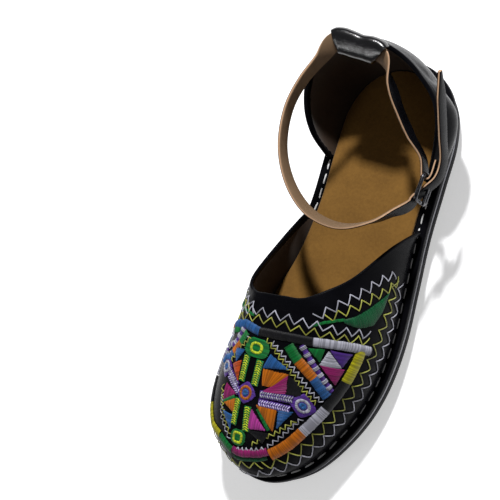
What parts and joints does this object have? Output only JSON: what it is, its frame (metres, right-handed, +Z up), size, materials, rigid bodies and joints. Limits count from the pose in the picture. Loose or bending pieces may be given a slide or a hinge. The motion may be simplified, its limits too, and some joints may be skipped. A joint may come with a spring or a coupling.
{
  "type": "closed-toe ankle-strap sandal",
  "caption": "Left closed-toe ankle-strap flat: embroidered leather vamp, soft heel counter and buckled strap on a stitched layered sole, open at the waist.",
  "frame": {"origin": "middle of the shoe's footprint on the floor under the sole", "axes": "+Z up from the floor, +Y from the toe towards the heel, +X towards the outer side"},
  "size_m": [0.0998, 0.25, 0.0968],
  "materials": {
    "sole_rubber": "matt black rubber",
    "midsole_layer": "pale grey-white rubber",
    "black_leather": "smooth black leather, soft shine",
    "insole_suede": "tan suede",
    "lining_leather": "taupe lining leather",
    "thread": "embroidery and sewing thread in several colours",
    "buckle_wire": "dark nickel wire"
  },
  "bodies": {
    "root": {"outsole": "sole_rubber", "midsole": "midsole_layer", "welt": "black_leather", "insole": "insole_suede", "vamp": "black_leather", "heel_counter": "black_leather", "heel_loop": "black_leather", "ankle_strap": "black_leather", "buckle_frame": "buckle_wire", "buckle_prong": "buckle_wire"}
  },
  "joints": []
}
